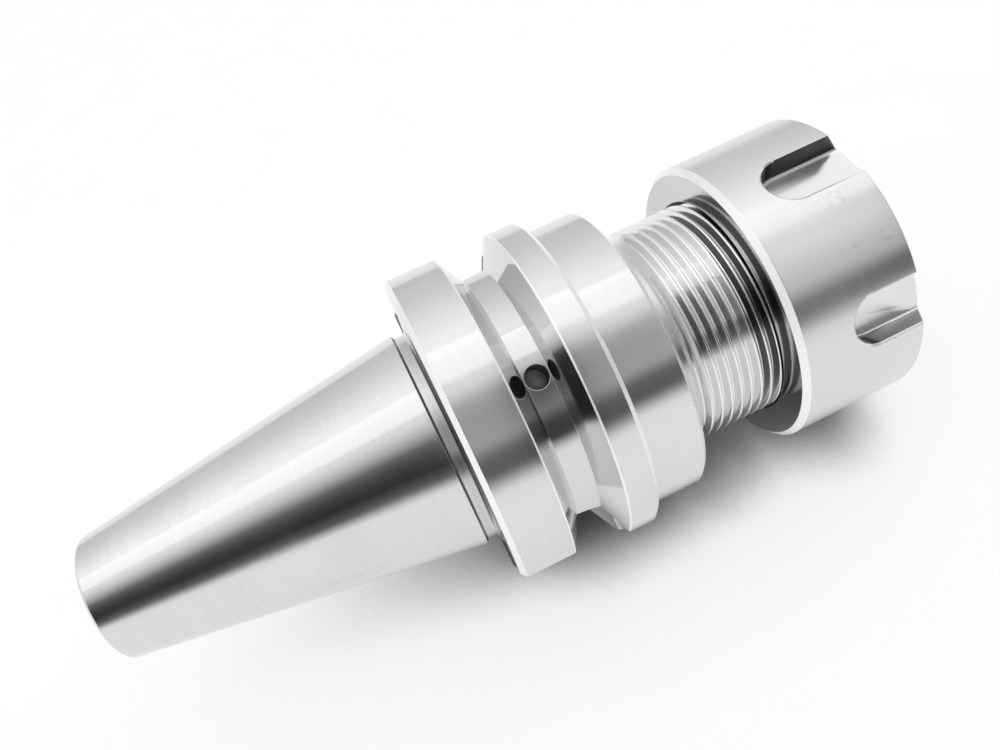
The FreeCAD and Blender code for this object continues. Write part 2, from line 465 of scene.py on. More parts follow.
# %% Winding and trimming the draw thread
draw_ridge = ridge_outline("draw_thread", foot_radius=6.08, tip_radius=5.1, foot_width=1.6,
                           tip_width=0.25, start=-43.5)
wind(draw_ridge, pitch=1.75, turns=18, steps=72)
trim = turn_on_lathe("trim", [
    (draw_start + 0.1, 6.5), (draw_start + 0.1, 5.9), (draw_start + 0.9, 5.0),
    (draw_end - 1.1, 5.0), (draw_end - 0.2, 5.9), (draw_end - 0.2, 6.5),
], points=96)
cut_away(draw_ridge, trim, "INTERSECT")
print("draw thread:", len(draw_ridge.data.polygons), "faces")

# %% [markdown]
# ## The clamping nut
#
# The nut is a short cup. A chamfer runs round its back, and a long bevel leads to its face. On the
# real one the bore is threaded, and the lip that pulls the collet out stands a little off centre.
# Both are hidden, by the nose and by the collet, so the bore is plain here and the lip is turned on
# the same axis as the rest. That keeps the nut a single section for the lathe.

# %% Turning the nut
nut_face = 64.5
nut_back = 44.5
nut_radius = 21.0
nut_chamfer = 0.8
nut_bevel = 2.5
nut_bore = 16.11
bore_chamfer = 0.2
mouth_radius = 10.65
mouth_depth = 3.6
pocket_radius = 12.73
lip_radius = 11.5
lip_start = 57.65
lip_width = 2.0
lip_break = 0.05

nut_section = [
    (nut_back, nut_bore + bore_chamfer), (nut_back, nut_radius - nut_chamfer),
    (nut_back + nut_chamfer, nut_radius), (nut_face - nut_bevel, nut_radius),
    (nut_face, nut_radius - nut_bevel * math.tan(math.radians(60))), (nut_face, mouth_radius),
    (nut_face - mouth_depth, pocket_radius), (lip_start + lip_width, pocket_radius),
    (lip_start + lip_width, lip_radius), (lip_start, lip_radius),
    (lip_start - lip_break, lip_radius + lip_break), (lip_start - lip_break, nut_bore),
    (nut_back + bore_chamfer, nut_bore),
]
nut = turn_on_lathe("nut_steel", nut_section)
print("nut turned:", len(nut.data.polygons), "faces")

# %% [markdown]
# ## The spanner's slots
#
# Six slots take the teeth of the spanner. They are milled with a round-ended cutter, long and short
# in turn, and their flat floors have a rounded foot. One cutter could be copied and turned, but
# two lengths alternate, so the loop makes each cutter anew.

# %% Milling the nut's slots
slot_count = 6
first_slot = 9.0
long_slot = 14.2
short_slot = 12.1
slot_width = 7.2
slot_mill = 3.59
slot_bottom = 17.4
slot_foot = 0.45
past_nut = 24.0

for i in range(slot_count):
    reach = short_slot if i % 2 else long_slot
    mill = slot_cutter(width=slot_width, floor=slot_bottom, top=past_nut, start=nut_face + 1,
                       end=nut_face - reach, corner=slot_mill, foot=slot_foot,
                       degrees=first_slot + 360 / slot_count * i)
    cut_away(nut, mill)
print("nut milled:", len(nut.data.polygons), "faces")

# %% [markdown]
# ## The broken mouths of the slots
#
# After the milling each slot's mouth is broken lightly, and the narrow new face glints. The Bevel
# modifier could do this to every sharp edge, but here only the edges where a slot's wall meets the
# round outside are wanted. Two measures find them, and later also find the region of each finish: how
# far a point is from the axis, and how straight a face looks away from it.

# %% Breaking the slots' mouths
def radius_of(point):
    """The distance of a point from the axis."""
    return math.hypot(point.y, point.z) / MM


def facing_out(face):
    """1 where a face looks straight away from the axis, 0 where it looks along it or round it."""
    middle = face.calc_center_median() if isinstance(face, bmesh.types.BMFace) else face.center
    return Vector((0, middle.y, middle.z)).normalized().dot(face.normal)


def on_slot_mouth(edge):
    """True where the round outside of the nut meets the wall of a slot."""
    if len(edge.link_faces) != 2 or any(abs(radius_of(point.co) - nut_radius) > 0.02 for point in edge.verts):
        return False
    facings = sorted(facing_out(face) for face in edge.link_faces)
    between_ends = nut_back + 2 < edge.verts[0].co.x / MM < nut_face - nut_bevel - 0.1
    return facings[0] < 0.9 and facings[1] > 0.99 and between_ends


mouth_break = 0.25
only(nut)
bpy.ops.object.mode_set(mode="EDIT")
pick("EDGE", on_slot_mouth)
bpy.ops.mesh.bevel(offset=mouth_break * MM, segments=1, affect="EDGES")
bpy.ops.object.mode_set(mode="OBJECT")
print("nut:", len(nut.data.polygons), "faces")

# %% [markdown]
# ## The spring collet
#
# The collet's long cone is ground at eight degrees a side, like the seat that closes it. A groove
# behind its head takes the nut's lip, and only the front of its bore grips the tool: the rear is half
# a millimetre wider all round. It could be left out, because the camera looks from the taper's side,
# but the nut would be an empty cup from the front.

# %% Turning the collet
collet_face = 64.1
collet_back = 30.1
cone_length = 27.0
cone_front = collet_back + cone_length
back_radius = seat_radius - cone_length * math.tan(seat_angle)
head_groove = 11.1
head_groove_width = 3.1
head_radius = 12.43
head_cone = 3.0
grip_radius = 6.0
grip_end = 42.1
grip_relief = 0.5
grip_chamfer = 0.4

collet_section = [
    (collet_back, grip_radius + grip_relief), (collet_back, back_radius - 0.2), (collet_back + 0.25, 9.26),
    (cone_front, seat_radius), (cone_front, head_groove), (cone_front + head_groove_width, head_groove),
    (cone_front + head_groove_width, head_radius), (collet_face - head_cone, head_radius),
    (collet_face, 10.7), (collet_face, grip_radius + grip_chamfer),
    (collet_face - grip_chamfer, grip_radius), (grip_end, grip_radius),
    (grip_end - grip_relief, grip_radius + grip_relief),
]
collet = turn_on_lathe("collet_steel", collet_section, points=192)
print("collet turned:", len(collet.data.polygons), "faces")

# %% [markdown]
# ## The collet's slits
#
# Slits from both ends, side by side, let the collet close evenly on the tool. Each stops short of the
# far end and leaves a web there, which holds the segments together. One segment could be modelled and
# copied round, but neighbours are joined at alternate ends. It is simpler to saw, with a thin block
# for the blade.

# %% Sawing the slits
slit_count = 16
slit_width = 0.8
web = 4.5
for i in range(slit_count):
    first, last = collet_back + web, collet_face + 1
    if i % 2:
        first, last = collet_back - 1, collet_face - web
    clear_selection()
    bpy.ops.mesh.primitive_cube_add(size=1, location=((first + last) / 2 * MM, 0, 9 * MM),
                                    scale=((last - first) * MM, slit_width * MM, 10 * MM))
    saw = bpy.context.object
    bpy.ops.object.transform_apply(location=True, rotation=True, scale=True)
    cut_away(collet, turn_about_axis(saw, lying + 360 / slit_count * i))
print("collet:", len(collet.data.polygons), "faces")

# %% [markdown]
# ## Smooth and sharp
#
# The turned walls should look round, while the corners stay crisp. More rings would help, but would
# make the pieces heavy. Smoothing by angle does both at no cost: faces that meet at less than
# twenty-five degrees share their shading, and any sharper corner stays an edge.

# %% Smooth the walls
pieces = [holder, nose_ridge, draw_ridge, nut, collet]
sharp_angle = math.radians(25)
for piece in pieces:
    only(piece)
    bpy.ops.object.shade_smooth_by_angle(angle=sharp_angle)
    print(piece.name, "smoothed")

# %% [markdown]
# ## A recipe of nodes
#
# Bare steel has no colour of its own to paint: it shows its surroundings. What tells a ground taper
# from a milled slot is how the tool's marks bend and blur the reflections. Those marks could be
# painted on an image, but they would blur close by and show a seam, so they are mixed from noise. The
# recipe below gives short names to the steps that every such mix needs. The table and the room use it
# as well.

# %% The recipe's steps
class Recipe:
    """A tree of nodes, built step by step. Each step gives back the socket that carries its result."""

    def __init__(self, tree):
        self.tree = tree

    def node(self, kind, **values):
        """Adds one node and sets its own choices."""
        node = self.tree.nodes.new("ShaderNode" + kind)
        for name, value in values.items():
            setattr(node, name, value)
        return node

    def link(self, source, target):
        """Wires an output to an input."""
        self.tree.links.new(source, target)

    def spread(self, source, low, high, to_low, to_high):
        """Stretches the values from low to high over a new span and cuts off what lies outside."""
        ranges = self.node("MapRange", clamp=True)
        ends = {"From Min": low, "From Max": high, "To Min": to_low, "To Max": to_high}
        for name, value in ends.items():
            ranges.inputs[name].default_value = value
        self.link(source, ranges.inputs["Value"])
        return ranges.outputs["Result"]

    def combine(self, operation, first, second):
        """One step of arithmetic on two sockets, or on a socket and a number."""
        math_node = self.node("Math", operation=operation)
        for socket, value in zip(math_node.inputs, (first, second)):
            if isinstance(value, (int, float)):
                socket.default_value = value
            else:
                self.link(value, socket)
        return math_node.outputs["Value"]

    def grey(self, value):
        """The same value in all three colours."""
        colour = self.node("CombineColor")
        for channel in ("Red", "Green", "Blue"):
            self.link(value, colour.inputs[channel])
        return colour.outputs["Color"]


# %% [markdown]
# ## A surface
#
# A surface is a recipe with a material and a place to read its pattern from. It reads Object
# coordinates, so its grain has one size on every piece and stays on the piece when the nut turns.
# The noise is stretched by three numbers, one for each direction: a large number squeezes it.

# %% The surface and its noise
class Surface(Recipe):
    """The recipe of one material."""

    def __init__(self, name):
        self.material = bpy.data.materials.new(name)
        self.material.use_nodes = True
        super().__init__(self.material.node_tree)
        self.shader = self.tree.nodes["Principled BSDF"]
        self.place = self.node("TexCoord").outputs["Object"]

    def noise(self, stretch, detail=2.0, turn=(0, 0, 0), rough=0.5):
        """A noise from 0 to 1, squeezed along each direction by its stretch and turned if need be."""
        mapping = self.node("Mapping")
        mapping.inputs["Scale"].default_value = stretch
        mapping.inputs["Rotation"].default_value = turn
        texture = self.node("TexNoise")
        texture.inputs["Scale"].default_value = 1.0
        texture.inputs["Detail"].default_value = detail
        texture.inputs["Roughness"].default_value = rough
        self.link(self.place, mapping.inputs["Vector"])
        self.link(mapping.outputs["Vector"], texture.inputs["Vector"])
        return texture.outputs["Fac"]


# %% [markdown]
# ## Scratches and stains
#
# A holder that has been handled has fine scratches in all directions and small matt stains. Drawing
# each one would take long and would look drawn. Instead only the highest values of a noise are kept:
# squeezed hard in one direction they are thin lines, and left even they are spots. A second noise
# says in which patches they lie, so that they come in groups, as on the real steel.

# %% Scratches and stains
def scratches_on(surface, amount):
    """Thin lines in two directions, each direction in patches of its own."""
    line_a = surface.noise((5200, 60, 160), 1.0, (0.3, 0.5, 0.2))
    line_b = surface.noise((90, 5200, 120), 1.0, (0.1, 0.2, 0.9))
    patch = surface.noise((160, 160, 160), 2.0)
    patch_a = surface.spread(patch, 0.5, 0.62, 0, 1)
    patch_b = surface.spread(patch, 0.5, 0.38, 0, 1)
    scratch_a = surface.combine("MULTIPLY", surface.spread(line_a, 0.76, 0.8, 0, 1), patch_a)
    scratch_b = surface.combine("MULTIPLY", surface.spread(line_b, 0.76, 0.8, 0, 1), patch_b)
    return surface.combine("MULTIPLY", surface.combine("ADD", scratch_a, scratch_b), amount)


def smudges_on(surface, amount):
    """Groups of small spots, longer along the axis than across it."""
    group = surface.spread(surface.noise((60, 200, 200), 4.0), 0.58, 0.7, 0, amount)
    spots = surface.spread(surface.noise((900, 1600, 1600), 3.0), 0.5, 0.62, 0, 1)
    return surface.combine("MULTIPLY", group, spots)


# %% [markdown]
# ## The tool's marks
#
# A wheel or a lathe leaves fine rings round the axis, and they bend the light more than any other
# mark. As geometry they would need millions of faces, so they are bump. The rings come from a noise
# that is squeezed hard along the axis and hardly round it. The bump starts from the normals of a
# Bevel node, which are rounded near each corner, so that no edge is sharper than in life.

# %% The bump of rings, scratches and rounded corners
def marks_on(surface, ring, fine_ring, scratch, depth, edge):
    """Wires rings and scratches of a given depth, over corners rounded by edge, to the shader."""
    height = surface.combine("ADD", ring, surface.combine("MULTIPLY", fine_ring, 0.35))
    height = surface.combine("SUBTRACT", height, surface.combine("MULTIPLY", scratch, 0.6))
    bump = surface.node("Bump")
    bump.inputs["Strength"].default_value = 1.0
    bump.inputs["Distance"].default_value = depth
    rounded = surface.node("Bevel", samples=6)
    rounded.inputs["Radius"].default_value = edge * MM
    surface.link(rounded.outputs["Normal"], bump.inputs["Normal"])
    surface.link(height, bump.inputs["Height"])
    surface.link(bump.outputs["Normal"], surface.shader.inputs["Normal"])


# %% [markdown]
# ## Steel
#
# Each finish is the same steel with its own numbers. The tone is how much light it gives back, and
# the blur is how far it scatters it. Rings, pits, specks and scratches change both a little from
# place to place, because perfectly even metal looks like plastic. The pull draws the reflections out
# across the rings, as on brushed metal. Each finish could be a tree of its own, but one function for
# all makes them a family.

# %% Mixing a steel
def steel(name, tone, blur, rings, ring_pitch, pull, edge, specks=0.5, scratches=0.5, smudges=0.0):
    """tone: brightness; blur: mean roughness; rings: strength of the tool's marks; ring_pitch: their
    distance; pull: how far they draw out the shine; edge: radius of the corners; the others: how much
    of each kind of wear."""
    cloudiness = 0.04
    surface = Surface(name)
    shader = surface.shader
    squeeze = 1 / (ring_pitch * MM)
    ring = surface.noise((squeeze, 40, 40), 3.0, rough=0.6)
    fine_ring = surface.noise((squeeze * 3.1, 90, 90), 2.0)
    cloud = surface.noise((90, 60, 60), 4.0)
    fleck = surface.spread(surface.noise((1500, 1500, 1500), 2.0), 0.74, 0.82, 0.0, 0.25 * specks)
    pit = surface.spread(surface.noise((2600, 700, 700), 1.0), 0.76, 0.84, 0.0, 0.3 * specks)
    scratch = scratches_on(surface, scratches)
    smudge = smudges_on(surface, smudges)

    value = surface.spread(cloud, 0.25, 0.75, tone - 0.03, tone + 0.03)
    value = surface.combine("SUBTRACT", value, smudge)
    value = surface.combine("ADD", value, surface.spread(ring, 0.3, 0.7, -0.5 * rings, 0.5 * rings))
    value = surface.combine("SUBTRACT", value, pit)
    value = surface.combine("ADD", value, fleck)
    value = surface.combine("ADD", value, surface.combine("MULTIPLY", scratch, 0.12))
    surface.link(surface.grey(value), shader.inputs["Base Color"])

    rough = surface.spread(cloud, 0.25, 0.75, blur - cloudiness, blur + cloudiness)
    rough = surface.combine("ADD", rough, surface.spread(ring, 0.3, 0.7, -0.25 * rings, 0.25 * rings))
    rough = surface.combine("ADD", rough, surface.combine("MULTIPLY", scratch, 0.1))
    rough = surface.combine("ADD", rough, surface.combine("MULTIPLY", smudge, 0.3))
    surface.link(rough, shader.inputs["Roughness"])

    marks_on(surface, ring, fine_ring, scratch, rings * ring_pitch * 0.03 * MM, edge)
    around = surface.node("Tangent", direction_type="RADIAL", axis="X")
    surface.link(around.outputs["Tangent"], shader.inputs["Tangent"])
    shader.inputs["Metallic"].default_value = 1.0
    shader.inputs["Anisotropic"].default_value = pull
    return surface.material


finishes = {}


def add_finish(name, **numbers):
    """Mixes one finish and keeps it under its name."""
    finishes[name] = steel(name, **numbers)


# %% [markdown]
# ## The turned and ground finishes
#
# The taper is ground and the flange is turned almost as finely, so both blur the room only a little.
# The taper also has a few stains from handling. The groove's floor and flanks are smoother still and
# mirror each other. The neck and the relief are narrow, matt and full of specks, because no wheel
# reaches them. One even steel for all would do from far away, but the photograph is taken close by
# and shows each of these apart.

# %% Finishes of the holder's outside
add_finish("ground_taper", tone=0.72, blur=0.13, rings=0.035, ring_pitch=0.25, pull=0.5, edge=0.12,
           specks=0.6, smudges=0.07)
add_finish("turned_flange", tone=0.72, blur=0.13, rings=0.03, ring_pitch=0.2, pull=0.6, edge=0.15,
           specks=0.3)
add_finish("turned_groove", tone=0.68, blur=0.09, rings=0.02, ring_pitch=0.3, pull=0.2, edge=0.12,
           specks=0.2)
add_finish("groove_flank", tone=0.72, blur=0.09, rings=0.012, ring_pitch=0.3, pull=0.1, edge=0.12,
           specks=0.1, scratches=0.2)
add_finish("turned_neck", tone=0.6, blur=0.2, rings=0.1, ring_pitch=0.2, pull=0.3, edge=0.06, specks=2.5)
print("finishes so far:", len(finishes))

# %% [markdown]
# ## The milled finishes and the broken edges
#
# A mill's marks go every way, so these finishes have no pull. The walls of the slots are darker than
# the turned steel around them, and the floors of the nut's slots are lighter. Faces that lie in shade
# get a painted shade that is nearly black. A broken edge is the brightest of all. A bevel in the
# material alone would not glint so evenly, so the real narrow faces get a painted glint, a tone close to
# white.

# %% Finishes of the cuts and edges
add_finish("milled_slot", tone=0.36, blur=0.2, rings=0.02, ring_pitch=0.6, pull=0.0, edge=0.15, specks=0.2)
add_finish("slot_floor", tone=0.78, blur=0.22, rings=0.008, ring_pitch=0.6, pull=0.0, edge=0.1, specks=0.1)
# painted shade: a near-black tone for faces that lie in shade
add_finish("painted_shade", tone=0.12, blur=0.22, rings=0.02, ring_pitch=0.6, pull=0.0, edge=0.08, specks=0.1)
# painted glint: a near-white tone on the narrow faces of broken edges
add_finish("edge_painted_glint", tone=0.98, blur=0.4, rings=0.01, ring_pitch=0.3, pull=0.0, edge=0.1,
           specks=0.0, scratches=0.2)
print("finishes so far:", len(finishes))

# %% [markdown]
# ## The finishes of the thread
#
# A thread looks striped: its crests glint, and its two flanks mirror different parts of the room. One
# finish would show some of that by itself. The stripes are made stronger with painted light: the
# crests get a painted highlight, lighter and a little matt, and the flanks that look at the nut get
# a slightly darker painted shade.

# %% Finishes of the thread
thread_finishes = [("thread_flank", 0.8, 0.1), ("thread_painted_shade", 0.74, 0.1), ("crest_painted_highlight", 0.95, 0.28)]
for name, tone, blur in thread_finishes:
    add_finish(name, tone=tone, blur=blur, rings=0.01, ring_pitch=0.15, pull=0.2, edge=0.03, specks=0.1)
print("finishes so far:", len(finishes))

# %% [markdown]
# ## The finishes of the nut, the collet and the insides
#
# The nut is polished on its outside, a little less glossy than the taper. Its back is so smooth that
# it mirrors the thread. The collet is spring steel and darker. Bores and drilled holes get little
# light, so they get painted shade, dark and matt, and they keep the marks of the drill. Their depth
# could be left to shadow alone, but steel this bright would light itself up inside.

# %% Finishes of the nut, the collet and the insides
add_finish("polished_nut", tone=0.72, blur=0.2, rings=0.02, ring_pitch=0.18, pull=0.5, edge=0.2,
           specks=0.3, smudges=0.06)
add_finish("turned_back", tone=0.6, blur=0.11, rings=0.01, ring_pitch=0.3, pull=0.1, edge=0.1,
           specks=0.1, scratches=0.2)
add_finish("spring_steel", tone=0.5, blur=0.2, rings=0.03, ring_pitch=0.2, pull=0.4, edge=0.1)
# painted shade inside the bores and the drilled hole
add_finish("bore_painted_shade", tone=0.3, blur=0.3, rings=0.06, ring_pitch=0.3, pull=0.3, edge=0.1)
add_finish("hole_painted_shade", tone=0.3, blur=0.4, rings=0.05, ring_pitch=0.3, pull=0.0, edge=0.05)
print("finishes:", len(finishes))

# %% [markdown]
# ## Which finish goes where on the holder
#
# A finish belongs to a region of the section. The faces could be picked by hand, one region after the
# other, but there are thousands. Instead each face is asked where its middle is, along the axis and
# out from it, and where it looks, and gets the finish that the tool for that region leaves. The hole
# and the two slots are not round, so they have tests of their own.

# %% The holder's regions
inner_side = 14.0
groove_reach = 0.2
# the chamfers and rims that get the painted glint
painted_glint_chamfers = [
    (flange_start, flange_start + rear_chamfer), (flange_end - front_chamfer, flange_end + body_foot),
    (body_end - body_chamfer, body_end), (thread_start - 0.4, thread_start + 0.1),
]
painted_glint_rims = [
    (groove_start - groove_reach, groove_start + 0.12), (groove_end - 0.12, groove_end + groove_reach),
]


def within(x, spans):
    """True if x lies in one of the spans."""
    return any(low < x < high for low, high in spans)


def measures_of(face):
    """A face's place along the axis, its distance from it, and how straight it looks away from it."""
    return face.center.x / MM, radius_of(face.center), facing_out(face)


def in_blind_hole(face):
    """True on the wall and the cone of the small hole in the groove's floor."""
    sideways = Vector((0, math.cos(math.radians(lying)), math.sin(math.radians(lying))))
    off_centre = math.hypot(face.center.x / MM - groove_middle, sideways.dot(face.center) / MM)
    deep = hole_bottom - 1 < radius_of(face.center) < groove_floor - 0.02
    return off_centre < hole_radius + 0.025 and deep and face.center.z > 0


def in_drive_slot(x, radius, facing, face):
    """True on a drive slot's floor, which lies below the groove's, and on its walls."""
    on_floor = radius < groove_floor - 0.05 and facing > 0.4
    on_wall = abs(face.normal.x) < 0.3 and facing < 0.9
    return flange_start + 0.2 < x < key_end + 0.3 and (on_floor or on_wall)


def holder_region(face):
    """The finish of one face of the holder."""
    x, radius, facing = measures_of(face)
    # the blind hole and the bores get painted shade
    if in_blind_hole(face):
        return "hole_painted_shade"
    on_nose_rim = x > 0 and radius < inner_side
    on_pilot_rim = x < small_end + 0.5 and radius < small_radius - 0.5
    if facing < -0.1 or on_nose_rim or on_pilot_rim:
        return "bore_painted_shade"
    if x < 0.05:
        return "ground_taper"
    if x < flange_start and radius < neck_radius + 0.5:
        # the sloping face down into the neck gets painted shade
        return "painted_shade" if x < neck_slope - 0.02 else "turned_neck"
    # painted glint on the chamfers and on the groove's rims
    if 0.3 < facing < 0.9 and radius > relief_radius - 0.1 and within(x, painted_glint_chamfers):
        return "edge_painted_glint"
    if radius > flange_radius - 0.2 and within(x, painted_glint_rims):
        return "edge_painted_glint"
    if in_drive_slot(x, radius, facing, face):
        return "milled_slot"
    if groove_start - groove_reach < x < groove_end + groove_reach:
        if facing < 0.99:
            return "groove_flank"
        if radius < groove_floor + 0.1:
            return "turned_groove"
    if body_end < x < thread_start:
        return "turned_neck"
    return "thread_flank" if x > thread_start else "turned_flange"


print("bright chamfers:", len(painted_glint_chamfers), "and bright rims:", len(painted_glint_rims))

# %% [markdown]
# ## Which finish goes where on the nut and the thread
#
# The nut is polished outside. Its slots have light floors, and a painted glint on their foot and on
# their mouths. Of a slot's two walls, the one that the light doesn't reach gets painted shade: the
# direction in which a wall looks round the axis tells them apart. On the thread, the last turns before
# the nut get painted shade on the flanks that look at it. Shadow alone would leave them grey, and
# the nut's smooth back mirrors this painted shade as a dark band.

# %% The regions of the nut and the thread
painted_shade_length = 3.2


def nut_region(face):
    """The finish of one face of the nut."""
    x, radius, facing = measures_of(face)
    # the nut's bore gets painted shade
    if radius < nut_bore + 0.14:
        return "bore_painted_shade"
    if x < nut_back + 0.01:
        return "turned_back"
    # painted glint on the back chamfer and on the slots' mouths
    if x < nut_back + nut_chamfer - 0.01:
        return "edge_painted_glint"
    behind_bevel = x < nut_face - nut_bevel - 0.1 or abs(face.normal.x) < 0.75
    milled = nut_back + 1.5 < x < nut_face - 0.1 and behind_bevel
    if milled and radius > nut_radius - 0.4 and 0.2 < facing < 0.98:
        return "edge_painted_glint"
    if not milled or radius > nut_radius - 0.05:
        return "polished_nut"
    if slot_bottom - 0.05 < radius < slot_bottom + 0.5 and facing > 0.95:
        return "slot_floor"
    # painted glint on the rounded foot of each slot
    if radius < slot_bottom + 1 and 0.2 < facing < 0.95:
        return "edge_painted_glint"
    if facing > 0.6:
        return "polished_nut"
    # the wall that the light doesn't reach gets painted shade
    looking_round = Vector((0, -face.center.z, face.center.y)).normalized().dot(face.normal)
    return "painted_shade" if looking_round > 0.3 else "milled_slot"


def thread_region(face):
    """The finish of one face of the nose thread."""
    # painted shade on the flanks of the last turns that face the nut
    if face.center.x / MM > nut_back - painted_shade_length and face.normal.x > 0.1:
        return "painted_shade"
    # painted highlight on the crests
    if 0.66 < facing_out(face) < 0.97:
        return "crest_painted_highlight"
    # painted shade on the flanks that look towards the nut
    return "thread_painted_shade" if face.normal.x > 0.3 else "thread_flank"


# %% [markdown]
# ## Giving out the finishes
#
# A piece holds a short list of materials, and each face keeps the number of its own. The region
# functions name the finish, so the number is looked up in the piece's list. Every finish in a list is
# used somewhere on its piece.

# %% Give each face its finish
def finish_faces(piece, names, region):
    """Hands the named finishes to the piece and lets the region function choose for each face."""
    for name in names:
        piece.data.materials.append(finishes[name])
    for face in piece.data.polygons:
        face.material_index = names.index(region(face))
    used = {names[face.material_index] for face in piece.data.polygons}
    print(piece.name, "wears", len(used), "of", len(names), "finishes")


finish_faces(holder, ["ground_taper", "turned_flange", "turned_groove", "groove_flank", "turned_neck",
                      "milled_slot", "edge_painted_glint", "painted_shade", "thread_flank", "bore_painted_shade",
                      "hole_painted_shade"], holder_region)
finish_faces(nut, ["polished_nut", "slot_floor", "milled_slot", "painted_shade", "edge_painted_glint", "turned_back",
                   "bore_painted_shade"], nut_region)
finish_faces(collet, ["spring_steel"], lambda face: "spring_steel")
finish_faces(nose_ridge, ["thread_flank", "crest_painted_highlight", "thread_painted_shade", "painted_shade"], thread_region)
# the draw thread, deep in its bore, gets painted shade
finish_faces(draw_ridge, ["bore_painted_shade"], lambda face: "bore_painted_shade")

# %% [markdown]
# ## Joining the pieces to the frame
#
# The holder carries both threads. The collet and the nut have bodies of their own, because the nut
# turns on its thread and takes the collet along. Parenting each piece by hand would do for one pose.
# Riding on a body does for all of them. Each of the three large pieces stands for the imported one.

# %% Ride on the bodies and hide the imported pieces
for piece, body, slot in ((holder, "holder", "ground_steel"), (nose_ridge, "holder", "ground_steel"),
                          (draw_ridge, "holder", "ground_steel"), (nut, "nut", "nut_steel"),
                          (collet, "collet", "spring_steel")):
    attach(piece, body)
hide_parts("holder_body")
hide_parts("clamping_nut")
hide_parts("collet")
print("pieces on their bodies:", len(pieces))

# %% [markdown]
# ## The table
#
# The holder lies on a plain white table. It is so brightly lit in the photograph that it loses its
# grain and keeps only a soft shadow close under the steel. A shadow from lamps spreads wider than
# that. So the eye sees a white that glows, dimmed by the Ambient Occlusion node where the steel is
# near. Leaning the node's normal away from the camera lays the shadow to one side. What lights the
# steel from below is the table's own grey, and mirrors see the same white as the camera.

# %% The table
shadow_reach = 17.0
shadow_lean = {"X": -0.22, "Y": 0.2, "Z": 0.937}
table_white = 0.74

clear_selection()
bpy.ops.mesh.primitive_plane_add(size=3.0, location=(0, 0, -flange_radius * MM))
table = bpy.context.object
table.name = "table"
paper = Surface("white_table")
grain = paper.spread(paper.noise((60, 60, 60), 3.0), 0.2, 0.8, 0.3, 0.31)
paper.link(paper.grey(grain), paper.shader.inputs["Base Color"])
paper.shader.inputs["Roughness"].default_value = 0.9
paper.shader.inputs["Specular IOR Level"].default_value = 0.0
closeness = paper.node("AmbientOcclusion", samples=12)
closeness.inputs["Distance"].default_value = shadow_reach * MM
lean = paper.node("CombineXYZ")
for direction, share in shadow_lean.items():
    lean.inputs[direction].default_value = share
paper.link(lean.outputs["Vector"], closeness.inputs["Normal"])
seen_by = paper.node("LightPath")
eye = paper.combine("MAXIMUM", seen_by.outputs["Is Camera Ray"], seen_by.outputs["Is Glossy Ray"])
white = paper.spread(closeness.outputs["AO"], 0.3, 0.66, 0.0, table_white)
paper.shader.inputs["Emission Color"].default_value = (1, 1, 1, 1)
paper.link(paper.combine("MULTIPLY", eye, white), paper.shader.inputs["Emission Strength"])
table.data.materials.append(paper.material)
print("table at z =", round(table.location.z / MM, 2), "mm")

# %% [markdown]
# ## The lamp
#
# One long soft lamp hangs straight over the table and makes the bright band on the upper side of the
# steel. A small lamp would give a hard glint instead, which the photograph doesn't have. Its power
# grows with its area, so that its brightness stays when its size is changed.

# %% The lamp over the table
lamp_length = 1.6
lamp_width = 0.3
lamp_brightness = 0.37

lamp_data = bpy.data.lights.new("soft_lamp", "AREA")
lamp_data.shape = "RECTANGLE"
lamp_data.size = lamp_length
lamp_data.size_y = lamp_width
lamp_data.energy = lamp_brightness * math.pi * lamp_length * lamp_width
lamp = bpy.data.objects.new("soft_lamp", lamp_data)
lamp.location = (0.0, 0.025, 0.7)
bpy.context.scene.collection.objects.link(lamp)
print("lamp:", round(lamp_data.energy, 3), "W")

# %% [markdown]
# ## The room's directions
#
# The room does most of the work, because polished steel is a picture of what stands round it. Cards
# and lamps could be placed round the part as in a studio, but each face mirrors its own part of the
# room, so it is simpler to tint the room itself. Two measures say where a ray goes: its angle round
# the part's axis, from the far horizon over straight up to the near one, and its share along the axis.

# %% The room's directions
world = bpy.data.worlds.new("room")
bpy.context.scene.world = world
world.use_nodes = True
room = Recipe(world.node_tree)
room.tree.nodes.clear()

ray = room.node("SeparateXYZ")
room.link(room.node("TexCoord").outputs["Generated"], ray.inputs["Vector"])
toward_viewer = room.combine("MULTIPLY", ray.outputs["Y"], -1.0)
angle = room.combine("ARCTAN2", toward_viewer, ray.outputs["Z"])
round_axis = room.spread(angle, -math.pi / 2, math.pi / 2, 0.0, 1.0)


def tone_ramp(tones):
    """A grey ramp over the angle from straight up (0) to the far (-90) and the near (90) horizon."""
    ramp = room.node("ValToRGB")
    stops = ramp.color_ramp.elements
    while len(stops) < len(tones):
        stops.new(0.5)
    for stop, (degrees, tone) in zip(stops, tones):
        stop.position = (degrees + 90) / 180
        stop.color = (tone, tone, tone, 1)
    room.link(round_axis, ramp.inputs["Fac"])
    return ramp.outputs["Color"]


def along_axis(from_x, to_x, first, second):
    """Blends two ramps as the ray's share along +X goes from from_x to to_x."""
    share = room.node("MapRange", interpolation_type="SMOOTHSTEP")
    share.inputs["From Min"].default_value = from_x
    share.inputs["From Max"].default_value = to_x
    room.link(ray.outputs["X"], share.inputs["Value"])
    mix = room.node("Mix", data_type="RGBA")
    room.link(share.outputs["Result"], mix.inputs["Factor"])
    room.link(first, mix.inputs["A"])
    room.link(second, mix.inputs["B"])
    return mix.outputs["Result"]


# %% [markdown]
# ## The room's tones
#
# Behind the part and over it the room is light. On the camera's side, between the camera's height and
# the horizon, there is a dark strip, which draws the dark line along every round surface. The strip
# is widest where the taper looks and narrower where the flange and the nut look. Two stretches are
# darker, one for the groove and one for the faces that mirror what stands beyond the nut. Past both
# ends the room is light again. One ramp for all would be simpler, but every surface would look alike.

